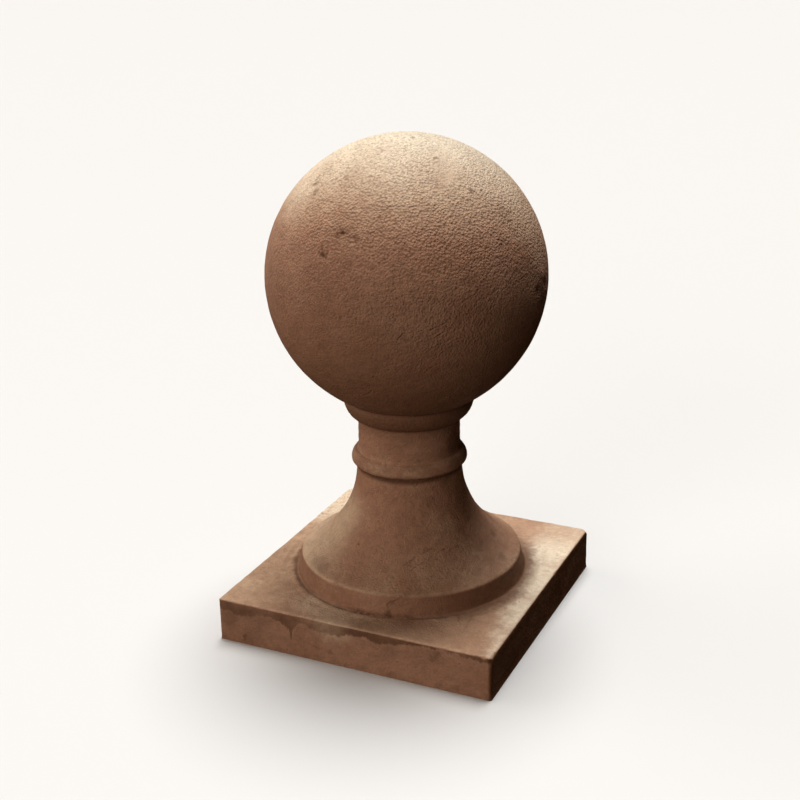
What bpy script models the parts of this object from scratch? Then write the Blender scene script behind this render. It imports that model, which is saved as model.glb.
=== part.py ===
# Ball finial: a ball on a short moulded stem with a bell foot, cast in one with its square plinth.
# Units are metres and +Z is up. The origin is the middle of the plinth's underside.

import math

import bpy

# Square plinth
PLINTH_SIDE = 0.320
PLINTH_HEIGHT = 0.050
PLINTH_EDGE_ROUND = 0.0025

# Round step on the plinth, slightly wider at its foot than at its rim
PLINTH_BORDER = 0.032
STEP_HEIGHT = 0.0235
STEP_BATTER = 0.0035
STEP_RIM_ROUND = 0.0025
STEP_FOOT_COVE = 0.004

# Bell: a hollow round curve from the step's rim up to the ring, upright at its top
BELL_HEIGHT = 0.1045
BELL_TOP_SET_OUT = 0.002

# Ring round the foot of the neck: a bead with a short lower side and a longer upper side
RING_PROJECTION = 0.008
RING_LOWER_SIDE = 0.0055
RING_UPPER_SIDE = 0.011

# Neck
NECK_RADIUS = 0.0565
NECK_HEIGHT = 0.039

# Collar under the ball: a rounded moulding that swells out from the neck to carry it
COLLAR_PROJECTION = 0.0155
COLLAR_HEIGHT = 0.0225
BALL_SEAT_LEDGE = 0.002

# Ball
BALL_DIAMETER = 0.300

# How finely the curves are faceted
SIDES_AROUND = 64
BALL_FACETS = 24
BELL_FACETS = 9
COLLAR_FACETS = 5
RING_LOWER_FACETS = 3
RING_UPPER_FACETS = 4
RIM_FACETS = 2
COVE_FACETS = 3
EDGE_SEGMENTS = 2

# The turned shape is rooted this deep in the plinth before the two are made one
ROOT_DEPTH = 0.010

MERGE_DISTANCE = 0.00005
SMOOTH_BELOW_ANGLE = math.radians(24)

# Warm brown cast stone
STONE_COLOUR = (0.235, 0.125, 0.068, 1.0)
STONE_ROUGHNESS = 0.78
STONE_METALLIC = 0.0


def clear_scene():
    for item in list(bpy.data.objects):
        bpy.data.objects.remove(item, do_unlink=True)


def new_collection(name):
    collection = bpy.data.collections.new(name)
    bpy.context.scene.collection.children.link(collection)
    return collection


def stone_material():
    material = bpy.data.materials.new("cast_stone")
    material.use_nodes = True
    shader = material.node_tree.nodes["Principled BSDF"]
    shader.inputs["Base Color"].default_value = STONE_COLOUR
    shader.inputs["Roughness"].default_value = STONE_ROUGHNESS
    shader.inputs["Metallic"].default_value = STONE_METALLIC
    material.diffuse_color = STONE_COLOUR
    return material


def arc(centre, radii, start_degrees, end_degrees, facets):
    """Points of an elliptical arc in the (radius, height) plane, both ends included."""
    points = []
    for step in range(facets + 1):
        angle = math.radians(start_degrees + (end_degrees - start_degrees) * step / facets)
        points.append((centre[0] + radii[0] * math.cos(angle), centre[1] + radii[1] * math.sin(angle)))
    return points


def ball_profile(collar_top, seat_radius):
    """The ball's outline from its top pole down to where it sits in the collar."""
    radius = BALL_DIAMETER / 2
    centre_height = collar_top + math.sqrt(radius ** 2 - seat_radius ** 2)
    lowest = -math.degrees(math.acos(seat_radius / radius))
    return arc((0.0, centre_height), (radius, radius), 90, lowest, BALL_FACETS)


def collar_profile(collar_top):
    """The collar's outline, upright at its rim and turning in to the neck below."""
    return arc((NECK_RADIUS, collar_top), (COLLAR_PROJECTION, COLLAR_HEIGHT), 0, -90, COLLAR_FACETS)


def ring_profile(ring_height, bell_top_radius):
    """The bead's outline: upper side, crest, then the shorter lower side."""
    crest_radius = NECK_RADIUS + RING_PROJECTION
    upper = arc((NECK_RADIUS, ring_height), (RING_PROJECTION, RING_UPPER_SIDE), 90, 0, RING_UPPER_FACETS)
    lower_reach = crest_radius - bell_top_radius
    lower = arc((bell_top_radius, ring_height), (lower_reach, RING_LOWER_SIDE), 0, -90, RING_LOWER_FACETS)
    return upper + lower[1:]


def bell_curve(bell_top_radius, rim_radius):
    """Radius of the bell's hollow and the angle it turns through, upright at its top."""
    spread = rim_radius - bell_top_radius
    curve_radius = (spread ** 2 + BELL_HEIGHT ** 2) / (2 * spread)
    sweep = math.degrees(math.atan2(BELL_HEIGHT, curve_radius - spread))
    return curve_radius, sweep


def bell_profile(bell_top_radius, bell_top, rim_radius):
    """The hollow between the ring and the step's rim, whose own two points are left out."""
    curve_radius, sweep = bell_curve(bell_top_radius, rim_radius)
    centre = (bell_top_radius + curve_radius, bell_top)
    return arc(centre, (curve_radius, curve_radius), 180, 180 + sweep, BELL_FACETS)[1:-1]


def step_profile(rim_radius, foot_radius, bell_sweep):
    """Rounded rim, battered side, small cove at the foot, then down into the plinth to the axis."""
    step_top = PLINTH_HEIGHT + STEP_HEIGHT
    rim = arc((rim_radius - STEP_RIM_ROUND, step_top - STEP_RIM_ROUND),
              (STEP_RIM_ROUND, STEP_RIM_ROUND), bell_sweep, 0, RIM_FACETS)
    root_radius = foot_radius + STEP_FOOT_COVE
    cove = arc((root_radius, PLINTH_HEIGHT + STEP_FOOT_COVE),
               (STEP_FOOT_COVE, STEP_FOOT_COVE), 180, 270, COVE_FACETS)
    root_height = PLINTH_HEIGHT - ROOT_DEPTH
    return rim + cove + [(root_radius, root_height), (0.0, root_height)]


def finial_profile():
    """The whole turned outline, from the ball's pole down its outer side to the root."""
    foot_radius = PLINTH_SIDE / 2 - PLINTH_BORDER
    rim_radius = foot_radius - STEP_BATTER
    bell_top_radius = NECK_RADIUS + BELL_TOP_SET_OUT
    bell_sweep = bell_curve(bell_top_radius, rim_radius)[1]
    bell_top = PLINTH_HEIGHT + STEP_HEIGHT + BELL_HEIGHT
    ring_height = bell_top + RING_LOWER_SIDE
    collar_top = ring_height + RING_UPPER_SIDE + NECK_HEIGHT + COLLAR_HEIGHT
    seat_radius = NECK_RADIUS + COLLAR_PROJECTION - BALL_SEAT_LEDGE
    return (ball_profile(collar_top, seat_radius)
            + collar_profile(collar_top)
            + ring_profile(ring_height, bell_top_radius)
            + bell_profile(bell_top_radius, bell_top, rim_radius)
            + step_profile(rim_radius, foot_radius, bell_sweep))


def turned_finial(collection, material):
    """Everything above the plinth, turned from one profile round the upright axis."""
    profile = finial_profile()
    vertices = [(radius, 0.0, height) for radius, height in profile]
    edges = [(index, index + 1) for index in range(len(profile) - 1)]
    mesh = bpy.data.meshes.new("turned_profile")
    mesh.from_pydata(vertices, edges, [])
    mesh.materials.append(material)
    turned = bpy.data.objects.new("ball_finial", mesh)
    collection.objects.link(turned)
    screw = turned.modifiers.new("turn", "SCREW")
    screw.axis = "Z"
    screw.angle = math.tau
    screw.steps = SIDES_AROUND
    screw.render_steps = SIDES_AROUND
    screw.use_merge_vertices = True
    screw.merge_threshold = MERGE_DISTANCE
    return turned


def square_plinth(collection, material):
    """The square slab, with its top and upright edges softened and its underside left full size."""
    bpy.ops.mesh.primitive_cube_add(size=1.0, location=(0.0, 0.0, 0.0))
    plinth = bpy.context.active_object
    plinth.name = "plinth_blank"
    plinth.data.name = "plinth_blank"
    for vertex in plinth.data.vertices:
        vertex.co.x *= PLINTH_SIDE
        vertex.co.y *= PLINTH_SIDE
        vertex.co.z = (vertex.co.z + 0.5) * PLINTH_HEIGHT
    weights = plinth.data.attributes.new("bevel_weight_edge", "FLOAT", "EDGE")
    for edge in plinth.data.edges:
        heights = [plinth.data.vertices[index].co.z for index in edge.vertices]
        weights.data[edge.index].value = 1.0 if max(heights) > PLINTH_HEIGHT / 2 else 0.0
    bevel = plinth.modifiers.new("soft_edges", "BEVEL")
    bevel.width = PLINTH_EDGE_ROUND
    bevel.segments = EDGE_SEGMENTS
    bevel.limit_method = "WEIGHT"
    plinth.data.materials.append(material)
    for owner in list(plinth.users_collection):
        owner.objects.unlink(plinth)
    collection.objects.link(plinth)
    plinth.hide_render = True
    plinth.display_type = "WIRE"
    return plinth


def make_one_casting(turned, plinth):
    """Joins the turned shape and the plinth into a single closed body."""
    union = turned.modifiers.new("one_casting", "BOOLEAN")
    union.operation = "UNION"
    union.solver = "EXACT"
    union.object = plinth
    depsgraph = bpy.context.evaluated_depsgraph_get()
    casting = bpy.data.meshes.new_from_object(turned.evaluated_get(depsgraph))
    casting.name = "ball_finial"
    turned.modifiers.clear()
    turned.data = casting
    casting.shade_smooth()
    casting.set_sharp_from_angle(angle=SMOOTH_BELOW_ANGLE)


def main():
    clear_scene()
    parts = new_collection("ball_finial")
    helpers = new_collection("ball_finial_cutters")
    stone = stone_material()
    turned = turned_finial(parts, stone)
    plinth = square_plinth(helpers, stone)
    make_one_casting(turned, plinth)


main()
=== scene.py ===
import math

import bpy
from mathutils import Euler, Matrix, Vector, noise


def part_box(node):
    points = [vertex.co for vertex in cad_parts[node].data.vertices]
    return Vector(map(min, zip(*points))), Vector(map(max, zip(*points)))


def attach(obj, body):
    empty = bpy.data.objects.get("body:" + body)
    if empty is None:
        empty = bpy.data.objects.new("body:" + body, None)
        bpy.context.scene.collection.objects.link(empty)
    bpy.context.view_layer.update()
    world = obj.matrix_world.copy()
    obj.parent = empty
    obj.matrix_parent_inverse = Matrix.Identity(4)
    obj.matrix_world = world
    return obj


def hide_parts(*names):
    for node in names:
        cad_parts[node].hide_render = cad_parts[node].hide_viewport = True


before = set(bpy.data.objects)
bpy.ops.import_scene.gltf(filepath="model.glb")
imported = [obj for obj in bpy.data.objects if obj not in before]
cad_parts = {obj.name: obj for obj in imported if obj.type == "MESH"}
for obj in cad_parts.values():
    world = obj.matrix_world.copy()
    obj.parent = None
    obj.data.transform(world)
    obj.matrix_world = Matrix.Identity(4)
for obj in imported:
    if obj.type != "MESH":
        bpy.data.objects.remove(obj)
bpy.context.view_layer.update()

castLow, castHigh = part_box("ball_finial")
print("frame loaded, the casting is", round(castHigh.z, 4), "m tall")


# the casting's own sizes, in metres, as the solid has them
casting = {
    "side": castHigh.x - castLow.x,      # the square plinth
    "height": castHigh.z,
    "plinthHeight": 0.050,
    "plinthEdge": 0.0025,                # rounding of the plinth's top and upright edges
    "border": 0.032,                     # plinth edge to the foot of the round step
    "stepHeight": 0.0235,
    "stepBatter": 0.0035,
    "rimRound": 0.0025,
    "footCove": 0.004,
    "bellHeight": 0.1045,
    "bellSetOut": 0.002,
    "ringOut": 0.008,
    "ringBelow": 0.0055,
    "ringAbove": 0.011,
    "neckRadius": 0.0565,
    "neckHeight": 0.039,
    "collarOut": 0.0155,
    "collarHeight": 0.0225,
    "seatLedge": 0.002,
    "ballRadius": 0.150,
}

# how fine the skin's mesh is, in metres along the outline
weave = {
    "ball": 0.0027,
    "seam": 0.0011,
    "seamRows": 3,                       # fine rows on each side of the casting seam
    "collar": 0.0018,
    "neck": 0.0024,
    "ring": 0.0015,
    "bell": 0.0026,
    "rim": 0.0009,
    "stepSide": 0.0023,
    "cove": 0.0012,
    "plinthSide": 0.0025,
    "widest": 0.0037,                    # a row gets twice the columns when they lie further apart
    "columns": (21, 42, 84, 168, 336, 672),
    "softening": 2,                      # passes that take the razor edge off inner corners
    "topRings": 17,                      # from the cove out to the plinth's edge
    "topCrowding": 1.15,                 # above 1 they lie closer towards the cove
    "topFewer": 7,                       # the first of them have half the columns
    "edgeRings": 3,
    "cornerCut": 0.3,                    # of the edge's rounding, off the plinth's upright corners
    # rings of the underside: share of the plinth's side, and how many times fewer columns
    "underside": ((0.985, 1), (0.94, 2), (0.84, 4), (0.66, 8), (0.44, 16), (0.2, 32)),
}


# outline of the casting, from the ball's pole down to the plinth

def arcPoints(centre, radii, fromDeg, toDeg, gap):
    sweep = math.radians(abs(toDeg - fromDeg))
    count = max(2, round(sweep * max(radii) / gap))
    points = []
    for i in range(count + 1):
        a = math.radians(fromDeg + (toDeg - fromDeg) * i / count)
        points.append((centre[0] + radii[0] * math.cos(a), centre[1] + radii[1] * math.sin(a)))
    return points


def linePoints(start, end, gap):
    count = max(1, round(math.dist(start, end) / gap))
    return [(start[0] + (end[0] - start[0]) * i / count,
             start[1] + (end[1] - start[1]) * i / count) for i in range(count + 1)]


def castingLevels():
    c = casting
    heights = {"plinth": c["plinthHeight"]}
    heights["step"] = heights["plinth"] + c["stepHeight"]
    heights["bell"] = heights["step"] + c["bellHeight"]
    heights["ring"] = heights["bell"] + c["ringBelow"]
    heights["neck"] = heights["ring"] + c["ringAbove"]
    heights["collar"] = heights["neck"] + c["neckHeight"]
    heights["seat"] = heights["collar"] + c["collarHeight"]
    heights["ball"] = heights["seat"] + math.sqrt(c["ballRadius"] ** 2 - seatRadius ** 2)
    return heights


seatRadius = casting["neckRadius"] + casting["collarOut"] - casting["seatLedge"]
level = castingLevels()
footRadius = casting["side"] / 2 - casting["border"]
rimRadius = footRadius - casting["stepBatter"]
coveRadius = footRadius + casting["footCove"]
seamLatitude = 41.0                      # the casting seam runs round the ball here, in degrees


def ballRows():
    radius = casting["ballRadius"]
    lowest = -math.degrees(math.acos(seatRadius / radius))
    halfSeam = math.degrees(weave["seamRows"] * weave["seam"] / radius)
    middle = (0.0, level["ball"])
    radii = (radius, radius)
    above = arcPoints(middle, radii, 90, seamLatitude + halfSeam, weave["ball"])
    seam = arcPoints(middle, radii, seamLatitude + halfSeam, seamLatitude - halfSeam, weave["seam"])
    below = arcPoints(middle, radii, seamLatitude - halfSeam, lowest, weave["ball"])
    return above + seam[1:] + below[1:]


def stemRows():
    c = casting
    neckOut = c["neckRadius"]
    collar = arcPoints((neckOut, level["seat"]), (c["collarOut"], c["collarHeight"]), 0, -90, weave["collar"])
    neck = linePoints((neckOut, level["collar"]), (neckOut, level["neck"]), weave["neck"])
    bellTop = neckOut + c["bellSetOut"]
    crest = neckOut + c["ringOut"]
    upper = arcPoints((neckOut, level["ring"]), (c["ringOut"], c["ringAbove"]), 90, 0, weave["ring"])
    lower = arcPoints((bellTop, level["ring"]), (crest - bellTop, c["ringBelow"]), 0, -90, weave["ring"])
    spread = rimRadius - bellTop
    hollow = (spread ** 2 + c["bellHeight"] ** 2) / (2 * spread)
    sweep = math.degrees(math.atan2(c["bellHeight"], hollow - spread))
    bell = arcPoints((bellTop + hollow, level["bell"]), (hollow, hollow), 180, 180 + sweep, weave["bell"])
    rim = arcPoints((rimRadius - c["rimRound"], level["step"] - c["rimRound"]),
                    (c["rimRound"], c["rimRound"]), sweep, 0, weave["rim"])
    coveTop = (footRadius, level["plinth"] + c["footCove"])
    side = linePoints(rim[-1], coveTop, weave["stepSide"])
    cove = arcPoints((coveRadius, level["plinth"] + c["footCove"]),
                     (c["footCove"], c["footCove"]), 180, 270, weave["cove"])
    return collar + neck[1:] + upper[1:] + lower[1:] + bell[1:-1] + rim + side[1:] + cove[1:]


def softened(rows, passes):
    # inner corners of a casting are never sharp: each pass draws a point a little towards its neighbours
    for _ in range(passes):
        rows = [rows[0]] + [tuple((rows[i - 1][k] + 2 * rows[i][k] + rows[i + 1][k]) / 4 for k in (0, 1))
                            for i in range(1, len(rows) - 1)] + [rows[-1]]
    return rows


# rings of points, joined into one closed skin

def columnsFor(radius):
    for count in weave["columns"]:
        if math.tau * radius / count <= weave["widest"]:
            return count
    return weave["columns"][-1]


def roundRing(radius, height, count):
    return [(radius * math.cos(math.tau * i / count), radius * math.sin(math.tau * i / count), height)
            for i in range(count)]


def squareRing(half, height, count, cornerCut=0.0):
    # evenly spaced round a square, each column starting from the middle of the +X side
    points = []
    for i in range(count):
        turn = i / count * 4 + 0.5
        side = int(turn) % 4
        along = (turn - int(turn)) * 2 - 1
        x, y = half, along * half
        if abs(along) > 1 - 1e-9:
            x -= cornerCut
            y -= math.copysign(cornerCut, y)
        turned = Matrix.Rotation(side * math.pi / 2, 2) @ Vector((x, y))
        points.append((turned.x, turned.y, height))
    return points


def blendRings(inner, outer, share, height):
    return [(a[0] + (b[0] - a[0]) * share, a[1] + (b[1] - a[1]) * share, height)
            for a, b in zip(inner, outer)]


def joinRings(faces, upper, lower):
    # upper and lower are lists of point numbers, one may have twice as many as the other
    n, m = len(upper), len(lower)
    if n == m:
        for i in range(n):
            j = (i + 1) % n
            faces.append((upper[i], lower[i], lower[j], upper[j]))
    elif m == 2 * n:
        for i in range(n):
            j = (i + 1) % n
            a, b, d = lower[2 * i], lower[2 * i + 1], lower[(2 * i + 2) % m]
            faces += [(upper[i], a, b), (upper[i], b, upper[j]), (upper[j], b, d)]
    else:
        for i in range(m):
            j = (i + 1) % m
            a, b, d = upper[2 * i], upper[2 * i + 1], upper[(2 * i + 2) % n]
            faces += [(a, lower[i], b), (b, lower[i], lower[j]), (b, lower[j], d)]


def turnedRings():
    # the ball and the stem, down to the foot of the cove
    rows = softened(ballRows()[1:] + stemRows(), weave["softening"])
    return [roundRing(radius, height, columnsFor(radius)) for radius, height in rows[:-1]]


def plinthRings():
    # the top out to its square edge, the rounded edge, the side and the underside
    rings = []
    half = casting["side"] / 2
    edge = casting["plinthEdge"]
    top = casting["plinthHeight"]
    most = weave["columns"][-1]
    cut = edge * weave["cornerCut"]
    for i in range(weave["topRings"] + 1):
        share = (i / weave["topRings"]) ** weave["topCrowding"]
        count = most // 2 if i < weave["topFewer"] else most
        rings.append(blendRings(roundRing(coveRadius, top, count),
                                squareRing(half - edge, top, count), share, top))
    for i in range(1, weave["edgeRings"] + 1):
        a = math.radians(90 - 90 * i / weave["edgeRings"])
        out = half - edge + edge * math.cos(a)
        rings.append(squareRing(out, top - edge + edge * math.sin(a), most, cut * i / weave["edgeRings"]))
    sideRows = round((top - edge) / weave["plinthSide"])
    for i in range(1, sideRows + 1):
        rings.append(squareRing(half, (top - edge) * (1 - i / sideRows), most, cut))
    for share, fewer in weave["underside"]:
        rings.append(squareRing(half * share, 0.0, most // fewer))
    return rings


def finialSkin():
    points = [(0.0, 0.0, casting["height"])]
    faces = []
    rings = []
    for ring in turnedRings() + plinthRings():
        rings.append(list(range(len(points), len(points) + len(ring))))
        points += ring
    first, last = rings[0], rings[-1]
    for i in range(len(first)):
        faces.append((0, first[i], first[(i + 1) % len(first)]))
    for upper, lower in zip(rings, rings[1:]):
        joinRings(faces, upper, lower)
    points.append((0.0, 0.0, 0.0))
    for i in range(len(last)):
        faces.append((len(points) - 1, last[(i + 1) % len(last)], last[i]))
    mesh = bpy.data.meshes.new("weatheredFinial")
    mesh.from_pydata(points, [], faces)
    mesh.update()
    return mesh


# the hand of the caster and of the weather, worked into the skin

skin = {
    "drawIn": 0.0004,                    # the ball and stem lie this far inside the solid
    "plinthDrawIn": 0.0002,
    "outOfTrue": 0.00045,                # slow waves of a hand-worked mould
    "lumps": 0.00020,
    "peel": 0.00016,                     # orange peel, on the ball's upper part
    "peelLeast": 0.2,                    # share of it lower down
    "peelFrom": 0.33,                    # height where the peel starts to show
    "peelFull": 0.43,
    "peelWander": 0.02,
    "seamHeight": 0.00045,
    "seamWidth": 0.0013,
    "seamWander": 0.0012,
    "seamBreaks": (-0.2, 0.4),           # noise from which it shows, and shows fully
    "seamEnds": (0.11, 0.03),            # it dies out towards +X between these
    "seamRidge": 0.6,                    # share of the height that stands out, and share that is cut in
    "seamLine": 0.9,
    "seamLower": 0.8,                    # the lower ridge against the upper one
    "seamLineWidth": 0.6,                # of the ridge's width
    "bellTool": 0.0003,                  # strokes of the float on the bell
    "floatAround": 0.05,                 # they run mostly up and down: stretch round the bell, and up it
    "floatUp": 0.35,
    "floatStray": 0.3,
    "bellFrom": (-0.002, 0.006),         # from the step up, and from the bell's top down
    "bellTo": -0.02,
    "turningDepth": 0.00012,             # faint turning lines round the neck, and their turns per metre
    "turningPitch": 1900,
    "grooveDepth": 0.0011,               # the angle under the ring, cleaned out with a blunt tool
    "grooveHalf": 0.0030,
    "grooveWander": 0.0010,
    "footWander": 0.0009,                # the foot of the step is wiped by hand, so its side wanders
    "footReach": 0.010,
    "plinthWaves": 0.0007,
    "plinthSink": 0.55,                  # the waves lie mostly below the true face
    "plinthGrain": 0.00022,
    "edgeWear": 0.0010,
    "edgeReach": 0.0055,
    "smearHeight": 0.0011,               # wiped fillet round the foot of the step
    "smearReach": 0.009,
    "rippleHeight": 0.0005,              # where the brush swept round, on two sides
    "ripplePitch": 0.0095,
    "rippleSides": (0.05, 0.10),         # metres to the side, where they start and are full
    "rippleOut": (0.030, 0.012),         # metres out from the cove, where they end
    "rippleIn": (0.0, 0.004),
    "standsFlat": 0.006,                 # nothing moves at the very foot, all does from here up
    "chipRagged": 0.35,
    "chipFloor": 0.25,                   # share of a chip's radius that is its flat floor
    "chipReach": 1.5,                    # no chip reaches past this many radii
    "creaseDeg": 55,                     # sharper corners than this keep a hard edge
}

# noise waves: how many per metre, and a shift that keeps them apart
waves = {
    "mould": (10, 3.3), "lumps": (48, 17.0), "fineLumps": (95, 8.8),
    "peelLine": (8, 40.0), "peel": (165, 23.0), "finePeel": (250, 2.0),
    "seamPath": (14, 5.1), "seamBreaks": (9, 71.0), "chips": (260, 31.7),
    "stem": (13, 51.0), "stemLumps": (55, 12.0), "float": (120, 9.0), "fineFloat": (210, 19.0),
    "turning": (30, 4.0), "groovePath": (40, 15.0), "grooveDepth": (34, 61.0), "foot": (26, 66.0),
    "slab": (11, 90.0), "slabGrain": (60, 14.0), "fineSlab": (130, 6.0),
    "wear": (38, 27.0), "fineWear": (120, 44.0), "smearReach": (16, 77.0), "smear": (30, 3.0),
    "ripples": (20, 9.0),
}

# dents and scars on the ball: turn and latitude in degrees, radius and depth in metres
ballDents = (
    (-101.7, 23.0, 0.0034, 0.0012),          # a crescent with a raised middle
    (-101.2, 21.4, 0.0034, 0.0014),
    (-99.4, 20.6, 0.0034, 0.0014),
    (-98.7, 22.5, 0.0030, 0.0011),
    (-100.2, 22.5, 0.0026, -0.0008),
    (5.3, 0.8, 0.0070, 0.0014),
    (-3.3, 0.2, 0.0070, 0.0012),
    (2.0, 5.5, 0.0080, -0.0009),
    (-131.0, 49.6, 0.0045, 0.0007),
    (-125.9, 46.8, 0.0045, 0.0008),
    (-120.8, 44.5, 0.0040, 0.0007),
    (-40.4, 82.7, 0.0032, 0.0009),
    (-38.5, 64.0, 0.0026, 0.0005),
    (-26.8, 44.8, 0.0030, 0.0010),
    (-93.1, 28.8, 0.0042, 0.0007),
    (-88.1, 27.7, 0.0036, 0.0006),
    (-68.1, -8.6, 0.0040, 0.0005),
    (38.0, 31.0, 0.0040, 0.0009),
    (104.0, 12.0, 0.0045, 0.0009),
    (151.0, 39.0, 0.0036, 0.0008),
    (-170.0, -12.0, 0.0042, 0.0007),
)

# chips knocked off the plinth: place, radius and depth
plinthChips = (
    ((0.1595, -0.1560, 0.0500), 0.0050, 0.0020),
    ((0.1520, -0.1598, 0.0495), 0.0045, 0.0016),
    ((0.1596, -0.1596, 0.0450), 0.0042, 0.0014),
    ((0.1440, -0.1600, 0.0480), 0.0038, 0.0010),
    ((0.1600, -0.1480, 0.0500), 0.0036, 0.0012),
    ((0.1030, -0.1600, 0.0380), 0.0060, 0.0012),
    ((0.0930, -0.1600, 0.0400), 0.0045, 0.0009),
    ((0.1600, 0.1590, 0.0500), 0.0065, 0.0024),
    ((-0.1600, 0.1330, 0.0500), 0.0055, 0.0014),
    ((-0.1600, 0.1180, 0.0500), 0.0045, 0.0012),
    ((-0.1600, 0.0850, 0.0500), 0.0045, 0.0010),
    ((-0.1600, 0.1590, 0.0490), 0.0060, 0.0022),
    ((-0.0400, 0.1600, 0.0500), 0.0055, 0.0015),
    ((0.1600, 0.0400, 0.0500), 0.0050, 0.0012),
)
bellPits = (
    ((-0.0257, -0.0799, 0.1058), 0.0030, 0.0012),
    ((0.0923, 0.0218, 0.0940), 0.0040, 0.0006),
    ((0.0435, -0.0440, 0.1506), 0.0032, 0.0005),
    ((0.0335, -0.1212, 0.0646), 0.0030, 0.0006),
    ((0.0312, -0.1244, 0.0526), 0.0035, 0.0008),
    ((-0.0500, 0.0850, 0.0920), 0.0045, 0.0008),
)


def ease(low, high, value):
    t = min(1.0, max(0.0, (value - low) / (high - low)))
    return t * t * (3 - 2 * t)


def rough(p, wave):
    perMetre, shift = waves[wave]
    return noise.noise(p * perMetre + Vector((shift, -shift * 0.7, shift * 1.3)))


def scooped(p, place, radius):
    # 1 in the middle of a chip or pit, 0 at its ragged rim
    ragged = radius * (1 + skin["chipRagged"] * rough(p, "chips"))
    return 1 - ease(skin["chipFloor"] * ragged, ragged, (p - place).length)


def ballPoint(turnDeg, latitudeDeg):
    turn, lat = math.radians(turnDeg), math.radians(latitudeDeg)
    radius = casting["ballRadius"]
    return Vector((radius * math.cos(lat) * math.cos(turn), radius * math.cos(lat) * math.sin(turn),
                   level["ball"] + radius * math.sin(lat)))


def seamLift(p):
    # two faint ridges with a line between them, lost here and there
    across = (math.asin(max(-1, min(1, (p.z - level["ball"]) / casting["ballRadius"])))
              - math.radians(seamLatitude)) * casting["ballRadius"]
    across += skin["seamWander"] * rough(p, "seamPath")
    wide = skin["seamWidth"]
    upper = math.exp(-((across - wide) / wide) ** 2)
    lower = math.exp(-((across + wide) / wide) ** 2)
    ridges = upper + skin["seamLower"] * lower
    line = math.exp(-(across / (skin["seamLineWidth"] * wide)) ** 2)
    strength = ease(*skin["seamBreaks"], rough(p, "seamBreaks")) * ease(*skin["seamEnds"], p.x)
    return skin["seamHeight"] * strength * (skin["seamRidge"] * ridges - skin["seamLine"] * line)


def ballDepth(p, dents):
    depth = skin["outOfTrue"] * rough(p, "mould")
    depth += skin["lumps"] * (rough(p, "lumps") + 0.6 * rough(p, "fineLumps"))
    peelLine = p.z + skin["peelWander"] * rough(p, "peelLine")
    peel = skin["peelLeast"] + (1 - skin["peelLeast"]) * ease(skin["peelFrom"], skin["peelFull"], peelLine)
    depth += skin["peel"] * peel * (rough(p, "peel") + 0.6 * rough(p, "finePeel"))
    depth += seamLift(p)
    for place, radius, deep in dents:
        depth -= pitDepth(p, place, radius, deep)
    return depth


def pitDepth(p, place, radius, deep):
    if (p - place).length < radius * skin["chipReach"]:
        return deep * scooped(p, place, radius)
    return 0.0


def stemDepth(p):
    turn = math.atan2(p.y, p.x)
    radius = math.hypot(p.x, p.y)
    depth = skin["outOfTrue"] * rough(p, "stem") + 0.8 * skin["lumps"] * rough(p, "stemLumps")
    around = skin["floatAround"]
    stroke = Vector((math.cos(turn) * around, math.sin(turn) * around, p.z * skin["floatUp"]))
    low, high = skin["bellFrom"]
    onBell = ease(level["bell"], level["bell"] + skin["bellTo"], p.z)
    onBell *= ease(level["step"] + low, level["step"] + high, p.z)
    floated = rough(stroke, "float") + 0.7 * rough(stroke + p * skin["floatStray"], "fineFloat")
    depth += skin["bellTool"] * onBell * floated
    if p.z > level["bell"]:
        depth += skin["turningDepth"] * math.sin(p.z * skin["turningPitch"] + 3 * rough(p, "turning"))
    for place, pitRadius, deep in bellPits:
        depth -= pitDepth(p, Vector(place), pitRadius, deep)
    fromGroove = abs(p.z - level["bell"] + skin["grooveWander"] * rough(p, "groovePath"))
    groove = ease(skin["grooveHalf"], 0.0, fromGroove)
    depth -= skin["grooveDepth"] * groove * (0.8 + 0.6 * rough(p, "grooveDepth"))
    foot = ease(level["plinth"] + skin["footReach"], level["plinth"], p.z)
    foot *= ease(footRadius - skin["footReach"], footRadius, radius)
    depth += skin["footWander"] * foot * rough(p, "foot")
    return depth


def smearLift(p):
    # the wiped smear round the step, and the ripples of the brush beyond it, on the plinth's top
    beyond = math.hypot(p.x, p.y) - coveRadius
    lift = 0.0
    reach = skin["smearReach"] * (0.8 + 0.6 * rough(Vector((p.x, p.y, 0)), "smearReach"))
    away = beyond / max(reach, 0.002)
    if away < 1:
        lift += skin["smearHeight"] * ease(1, 0.15, away) * (0.55 + 0.5 * rough(p, "smear"))
    swept = ease(*skin["rippleSides"], abs(p.x))
    swept *= ease(*skin["rippleOut"], beyond) * ease(*skin["rippleIn"], beyond)
    wave = math.sin(math.tau * (beyond / skin["ripplePitch"] + 0.3 * rough(p, "ripples")) - 1.6)
    return lift + skin["rippleHeight"] * swept * wave


def plinthShift(p, normal):
    half = casting["side"] / 2
    slab = skin["plinthWaves"] * (rough(p, "slab") - skin["plinthSink"]) * 0.7
    grain = skin["plinthGrain"] * (rough(p, "slabGrain") + 0.7 * rough(p, "fineSlab"))
    shift = normal * (slab + grain)
    # slumped and rubbed edges: only the two nearest faces count
    near = sorted((half - abs(p.x), half - abs(p.y), casting["plinthHeight"] - p.z))
    edgeNear = ease(skin["edgeReach"], 0.0, math.hypot(near[0], near[1]))
    if edgeNear > 0:
        wear = 0.25 + max(0.0, rough(p, "wear") + 0.25) * 0.9 + max(0.0, rough(p, "fineWear")) * 0.5
        shift -= normal * (skin["edgeWear"] * edgeNear * wear * 0.7)
    if normal.z > 0.7 and math.hypot(p.x, p.y) > footRadius:
        shift.z += smearLift(p)
    for place, chipRadius, deep in plinthChips:
        where = Vector(place)
        inward = Vector((-where.x, -where.y, -(where.z - 0.03) * 4)).normalized()
        shift += inward * pitDepth(p, where, chipRadius, deep)
    return shift


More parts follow.
